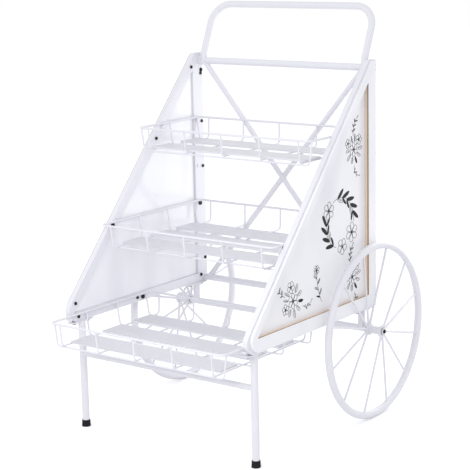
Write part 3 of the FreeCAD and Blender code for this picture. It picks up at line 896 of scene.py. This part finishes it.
@dataclass
class ClampHead:
    """The larger round head on the inner face of an upright, beside the handle's foot.

    The profile's points are rises above the face and radii, in millimetres.
    """

    side: Side
    height: float = 915.3 * MM
    from_rear: float = 6.5 * MM
    profile: tuple[Place, ...] = (
        (0.0, 0.01), (0.0, 6.0), (1.6, 6.0), (2.8, 5.0), (3.6, 3.2), (3.9, 0.01))

    def build(self, black: bpy.types.Material) -> None:
        """Turn the head and set it on the upright.

        Args:
            black: finish of the head.
        """
        low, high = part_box("rear_upright_" + self.side.word)
        wall = low.x if self.side is Side.RIGHT else high.x
        stations = [(wall - self.side.value * rise * MM, radius * MM)
                    for rise, radius in self.profile]
        centre = Vector((wall, high.y - self.from_rear, self.height))
        head = turned("head", stations, centre, self.side is Side.RIGHT, black)
        settle(join_meshes("clamp_head_" + self.side.word, [head]), "cart")


PETAL_POINTS = 14
DISC_POINTS = 16
STEM_STEPS = 12


def polar(start: Place, distance: float, heading: float) -> Place:
    """The place at a distance from another; the heading in degrees turns from forwards to up."""
    turn = math.radians(heading)
    return (start[0] + distance * math.cos(turn), start[1] + distance * math.sin(turn))


@dataclass
class FlowerPrint:
    """Plain black line drawings of garden flowers on one side board.

    Places are (reach from the rear, height) in millimetres, and so are all lengths of a drawing.
    """

    side: Side
    board_face: float = 293.6 * MM
    line: float = 0.62 * MM
    petal_lift: float = 0.25 * MM
    disc_lift: float = 0.3 * MM
    lines: list[Path] = field(default_factory=list)
    fills: list[list[Vector]] = field(default_factory=list)

    def __post_init__(self) -> None:
        """Read where the board's outer face lies."""
        self.face_x = self.side.value * self.board_face
        self.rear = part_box("rear_upright_" + self.side.word)[1].y

    def spot(self, reach: float, z: float, lift: float = 0.0) -> Vector:
        """A point on the board's face, from millimetres of reach and height."""
        return Vector((self.face_x + self.side.value * lift, self.rear - reach * MM, z * MM))

    def stroke(self, points: Sequence[Place], closed: bool = False) -> None:
        """Draw one line through (reach, z) points."""
        self.lines.append(([self.spot(*p) for p in points], closed))

    def petal(self, at: Place, heading: float, length: float, width: float,
              filled: bool = False, ribbed: bool = True) -> None:
        """Draw a petal or leaf: a pointed oval.

        Args:
            at: its root.
            heading: its direction, in degrees from forwards towards up.
            length: its length.
            width: its full width.
            filled: whether it is solid black.
            ribbed: whether an outlined one has a midrib.
        """
        turn = math.radians(heading)
        along = (math.cos(turn), math.sin(turn))
        across = (-along[1], along[0])
        outline = []
        for i in range(PETAL_POINTS):
            sweep = 2 * math.pi * i / PETAL_POINTS
            s = (1 - math.cos(sweep)) / 2 * length
            w = math.sin(sweep) * width / 2 * (0.75 + 0.25 * math.cos(sweep / 2))
            outline.append((at[0] + along[0] * s + across[0] * w,
                            at[1] + along[1] * s + across[1] * w))
        if filled:
            self.fills.append([self.spot(*p, self.petal_lift) for p in outline])
        else:
            self.stroke(outline, True)
        if ribbed and not filled:
            self.stroke([(at[0] + along[0] * length * t, at[1] + along[1] * length * t)
                         for t in (0.1, 0.75)])

    def disc(self, at: Place, radius: float) -> None:
        """Draw a solid round centre or dot."""
        ring = [polar(at, radius, 360 * i / DISC_POINTS) for i in range(DISC_POINTS)]
        self.fills.append([self.spot(*p, self.disc_lift) for p in ring])

    def blossom(self, at: Place, radius: float, petals: int, start: float) -> None:
        """Draw an open flower: petals in a ring, a solid centre and dots round it.

        Args:
            at: its centre.
            radius: its radius.
            petals: how many petals it has.
            start: heading of the first petal.
        """
        for i in range(petals):
            heading = start + 360 * i / petals
            self.petal(polar(at, radius * 0.2, heading), heading, radius * 0.8,
                       radius * 5.2 / petals, ribbed=False)
        self.disc(at, radius * 0.17)
        for i in range(petals):
            between = start + 360 * (i + 0.5) / petals
            self.disc(polar(at, radius * 0.3, between), radius * 0.035)

    def spray(self, root: Place, heading: float, length: float, leaves: int, curl: float,
              tip_radius: float, petals: int) -> None:
        """Draw a bending stem with leaves in turn on both sides and a flower at its tip.

        Args:
            root: where the stem starts.
            heading: its direction there.
            length: its length.
            leaves: how many leaves it has.
            curl: how far it bends in all, in degrees.
            tip_radius: size of the flower at its tip.
            petals: petals of that flower; 0 makes it a bud.
        """
        points = [root]
        for i in range(STEM_STEPS):
            points.append(polar(points[-1], length / STEM_STEPS, heading + curl * i / STEM_STEPS))
        self.stroke(points)
        for i in range(leaves):
            step = 2 + i * 9 / max(1, leaves)
            way = heading + curl * step / STEM_STEPS
            side = 1 if i % 2 else -1
            self.petal(points[int(step)], way + side * 48, length * 0.2, length * 0.075, i % 3 == 0)
        if petals:
            self.blossom(points[-1], tip_radius, petals, heading)
        else:
            self.petal(points[-1], heading + curl, tip_radius * 1.6, tip_radius * 0.8, True)

    def bunch(self, at: Place, size: float, heading: float) -> None:
        """Draw a bunch: three open flowers, leaves behind them and two thin sprays.

        Args:
            at: centre of the largest flower.
            size: the bunch's size; every part is a share of it.
            heading: the direction it faces.
        """
        def away(tilt: float, share: float) -> Place:
            """A point beside the centre, by tilt from the heading and share of the size."""
            return polar(at, size * share, heading + tilt)

        self.blossom(at, size * 0.52, 6, heading)
        self.blossom(away(52, 0.95), size * 0.4, 5, heading + 20)
        self.blossom(away(-50, 0.92), size * 0.36, 5, heading - 15)
        for k, tilt in enumerate((92, 128, 164, 200, 236, 272)):
            self.petal(away(tilt, 0.56), heading + tilt, size * (0.58 - 0.1 * (k % 2)), size * 0.3,
                       k == 2)
        self.petal(away(20, 0.56), heading + 6, size * 0.6, size * 0.2)
        self.petal(away(-14, 0.56), heading - 10, size * 0.5, size * 0.18)
        self.spray(away(2, 1.0), heading + 4, size * 1.5, 6, 55, size * 0.12, 0)
        self.spray(away(182, 1.2), heading + 190, size * 1.1, 4, -90, size * 0.1, 0)

    def compose(self) -> None:
        """Lay out the drawing: a wreath with three blossoms, three bunches and one spray."""
        middle = (172.0, 555.0)
        ring = 66.0
        leaf_step = 20.0
        line_step = 6.0
        # turn round the wreath, radius and petals of each blossom on it
        flowers = ((212, 27, 6), (262, 22, 5), (36, 24, 6))

        def bare(turn: float, margin: float) -> bool:
            """Whether a turn lies clear of the blossoms by a margin."""
            return all(math.radians(abs((turn - place + 180) % 360 - 180)) * ring > radius + margin
                       for place, radius, _ in flowers)

        def on_ring(turn: float) -> Place:
            """The wreath's point at a turn."""
            return polar(middle, ring, turn)

        for k in range(int(360 / leaf_step)):
            turn = leaf_step * k
            if bare(turn, 10):
                self.petal(on_ring(turn), turn + 62, 36, 15, True)
                self.petal(on_ring(turn), turn + 128, 28, 11, k % 3 != 1)
        for k in range(int(360 / line_step)):
            turn = line_step * k
            if bare(turn, 2) and bare(turn + line_step, 2):
                self.stroke([on_ring(turn), on_ring(turn + line_step)])
        for place, radius, petals in flowers:
            self.blossom(on_ring(place), radius, petals, place)
        self.bunch((114, 398), 37, 74)
        self.bunch((104, 738), 36, 84)
        self.bunch((392, 392), 40, 24)
        self.spray((262, 362), 62, 92, 5, 30, 13, 7)

    def build(self, tree: BentWireTree, ink: bpy.types.Material) -> None:
        """Make the printed lines and solid shapes.

        Args:
            tree: the bent wire tree.
            ink: the printing ink.
        """
        self.compose()
        drawn = tree.wires("lines", self.lines, self.line, 0.0, ink, sides=4, steps=1)
        solid = bpy.data.meshes.new("solid_shapes")
        points: list[tuple[float, float, float]] = []
        faces = []
        for outline in self.fills:
            first = len(points)
            points.extend(tuple(p) for p in outline)
            faces.append(list(range(first, len(points))))
        solid.from_pydata(points, [], faces)
        solid.materials.append(ink)
        outwards = self.side.value
        for polygon in solid.polygons:
            if polygon.normal.x * outwards < 0:
                polygon.flip()
        piece = join_meshes("flower_print_" + self.side.word, [drawn, solid])
        settle(piece, "cart")


@dataclass(frozen=True)
class Lamp:
    """A square area lamp that faces a point and that the camera doesn't see."""

    name: str
    place: tuple[float, float, float]
    power: float
    size: float
    aim: tuple[float, float, float] = (0.0, 0.0, 0.5)

    def build(self) -> None:
        """Add the lamp."""
        data = bpy.data.lights.new(self.name, "AREA")
        data.energy = self.power
        data.size = self.size
        lamp = new_object(self.name, data)
        lamp.location = self.place
        ray = Vector(self.aim) - Vector(self.place)
        lamp.rotation_euler = ray.to_track_quat("-Z", "Y").to_euler()
        lamp.visible_camera = False


LAMPS = (
    Lamp("window", (-2.6, -2.2, 3.4), 4.0, 2.6),
    Lamp("fill", (3.4, -1.2, 2.0), 4.0, 2.4),
    Lamp("back", (0.4, 3.2, 2.8), 3.0, 2.2),
    Lamp("inner", (0.26, -1.0, 0.85), 2.8, 0.6, (-0.28, 0.0, 0.5)),
    Lamp("inner_rear", (0.25, 0.75, 0.6), 1.9, 0.6, (-0.3, -0.1, 0.45)),
)


@dataclass
class Studio:
    """Camera, lamps, world and floor."""

    eye: tuple[float, float, float] = (2.3138, -3.0737, 1.3062)
    right: tuple[float, float, float] = (0.80331, 0.59519, -0.02102)
    up: tuple[float, float, float] = (-0.10778, 0.17999, 0.97775)
    look: tuple[float, float, float] = (-0.58573, 0.78317, -0.20873)
    focal_px: float = 1460.36
    centre_px: tuple[float, float] = (238.41, 241.48)
    frame_px: float = 470.0
    clip_end: float = 60.0
    floor_reach: float = 14.0
    sky: Colour = (0.965, 0.97, 1.0, 1.0)
    sky_strength: float = 0.95

    def build(self) -> None:
        """Set up everything round the object."""
        scene = bpy.context.scene
        scene.view_settings.view_transform = "Standard"
        self.camera(scene)
        self.floor()
        for lamp in LAMPS:
            lamp.build()
        world = bpy.data.worlds.new("studio")
        world.use_nodes = True
        back = world.node_tree.nodes["Background"]
        back.inputs["Color"].default_value = self.sky
        back.inputs["Strength"].default_value = self.sky_strength
        scene.world = world
        self.backdrop_rays(world)

    def camera(self, scene: bpy.types.Scene) -> None:
        """Place the camera at the photograph's view.

        Args:
            scene: the scene that looks through it.
        """
        data = bpy.data.cameras.new("photo_camera")
        data.lens = self.focal_px / self.frame_px * data.sensor_width
        data.shift_x = (self.frame_px / 2 - self.centre_px[0]) / self.frame_px
        data.shift_y = (self.centre_px[1] - self.frame_px / 2) / self.frame_px
        data.clip_end = self.clip_end
        eye = new_object("photo_camera", data)
        columns = [Vector(self.right), Vector(self.up), -Vector(self.look)]
        turn = Matrix([[c[i] for c in columns] for i in range(3)]).to_4x4()
        eye.matrix_world = Matrix.Translation(Vector(self.eye)) @ turn
        scene.camera = eye

    def floor(self) -> None:
        """A wide floor under the wheels and feet."""
        mesh = bpy.data.meshes.new("floor")
        reach = self.floor_reach
        corners = [(-reach, -reach, 0), (reach, -reach, 0), (reach, reach, 0), (-reach, reach, 0)]
        mesh.from_pydata(corners, [], [(0, 1, 2, 3)])
        mesh.materials.append(StudioFloor().build())
        new_object("floor", mesh)

    def backdrop_rays(self, world: bpy.types.World) -> None:
        """Let camera and mirror rays that miss everything see plain white.

        Args:
            world: the world whose light stays as it is for all other rays.
        """
        nodes, link = world.node_tree.nodes, world.node_tree.links.new
        rays = nodes.new("ShaderNodeLightPath")
        either = nodes.new("ShaderNodeMath")
        either.operation = "MAXIMUM"
        link(rays.outputs["Is Camera Ray"], either.inputs[0])
        link(rays.outputs["Is Glossy Ray"], either.inputs[1])
        white = nodes.new("ShaderNodeBackground")
        white.inputs["Color"].default_value = WHITE
        blend = nodes.new("ShaderNodeMixShader")
        link(either.outputs[0], blend.inputs[0])
        link(nodes["Background"].outputs[0], blend.inputs[1])
        link(white.outputs[0], blend.inputs[2])
        link(blend.outputs[0], nodes["World Output"].inputs["Surface"])


LOWER_SLAT_SHARE = 0.966
PAINT_REACH = 9 * MM
# (reach from the rear, height) in millimetres of the fasteners that carry the frame's paint
BOARD_SPOTS = [(390.0, 548.0), (30.5, 640.0)]
PAINTED_OVER: dict[str, list[Place]] = {
    "tray_bolts": [(186.0, 772.5), (27.0, 772.5), (596.0, 307.0)],
    "board_bolts_left": BOARD_SPOTS,
    "board_bolts_right": BOARD_SPOTS,
}


class Cart:
    """All pieces of the cart in order."""

    def __init__(self, frame: dict[str, Any]) -> None:
        """Make the finishes and keep the frame's nodes.

        Args:
            frame: what the CAD frame holds.
        """
        self.nodes = frame["nodes"]
        self.steel = PaintedSteel().build()
        self.board = LacqueredBoard().build()
        self.trim = LacqueredBoard(name="white_board_sawn_edges", raw_edges=True).build()
        self.slat = SlatFace().build()
        self.rubber = DarkFinish("black_rubber", roughness=0.62).build()
        self.screw = DarkFinish("black_oxide_screw", (0.02, 0.02, 0.022, 1.0), 0.35, 0.6).build()
        self.ink = DarkFinish("black_print", (0.02, 0.02, 0.02, 1.0), 0.45).build()
        self.zinc = ZincSteel().build()

    def finish_for(self, name: str) -> bpy.types.Material:
        """The finish of a CAD node that is shown as it is.

        Args:
            name: the node's name.

        Returns:
            Its finish.
        """
        rules = (("_bolts", self.screw), ("cap_nut", self.screw), ("rubber_foot", self.rubber),
                 ("side_board", self.board), ("side_trim", self.trim), ("_slats", self.slat),
                 ("axle_rod", self.zinc), ("hub_washers", self.zinc))
        for word, finish in rules:
            if word in name:
                return finish
        return self.steel

    def dress(self) -> None:
        """Give every CAD node its finish."""
        for name, node in self.nodes.items():
            node.data.materials.clear()
            node.data.materials.append(self.finish_for(name))
            if name in PAINTED_OVER:
                self.paint_over(node, PAINTED_OVER[name])

    def paint_over(self, node: bpy.types.Object, spots: Sequence[Place]) -> None:
        """Paint the fasteners of a node that were coated together with the frame.

        Args:
            node: the fasteners.
            spots: (reach, z) in millimetres of each painted one.
        """
        node.data.materials.append(self.steel)
        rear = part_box("rear_upright_left")[1].y
        for polygon in node.data.polygons:
            where = polygon.center
            for reach, z in spots:
                if math.hypot(rear - reach * MM - where.y, z * MM - where.z) < PAINT_REACH:
                    polygon.material_index = 1

    def trim_slats(self, name: str, share: float) -> None:
        """Show a tray's boards a little shorter than the solids.

        Args:
            name: the boards' node.
            share: their length as a share of the solids'.
        """
        piece = join_meshes(name + "_shown", [self.nodes[name].data.copy()])
        for vertex in piece.data.vertices:
            vertex.co.x *= share
        settle(piece, "cart", [name])

    def build(self) -> None:
        """Make and dress every piece."""
        self.dress()
        tree = BentWireTree()
        for tray in (WireTray("top", 3), WireTray("middle", 4), WireTray("lower", 4)):
            tray.build(tree, self.steel)
        self.trim_slats("lower_slats", LOWER_SLAT_SHARE)
        PushHandle().build(tree, self.steel)
        for side in Side:
            SpokedWheel(side).build(tree, self.steel)
            AcornNut(side).build(self.steel, self.screw)
            ClampHead(side).build(self.screw)
            SidePanel(side).build(self.board, self.trim)
            FlowerPrint(side).build(tree, self.ink)


def main() -> None:
    """Load the frame, build the cart and the studio."""
    logging.basicConfig(level=logging.INFO, format="%(name)s: %(message)s")
    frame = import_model()
    Studio().build()
    Cart(frame).build()


if __name__ == "__main__":
    main()
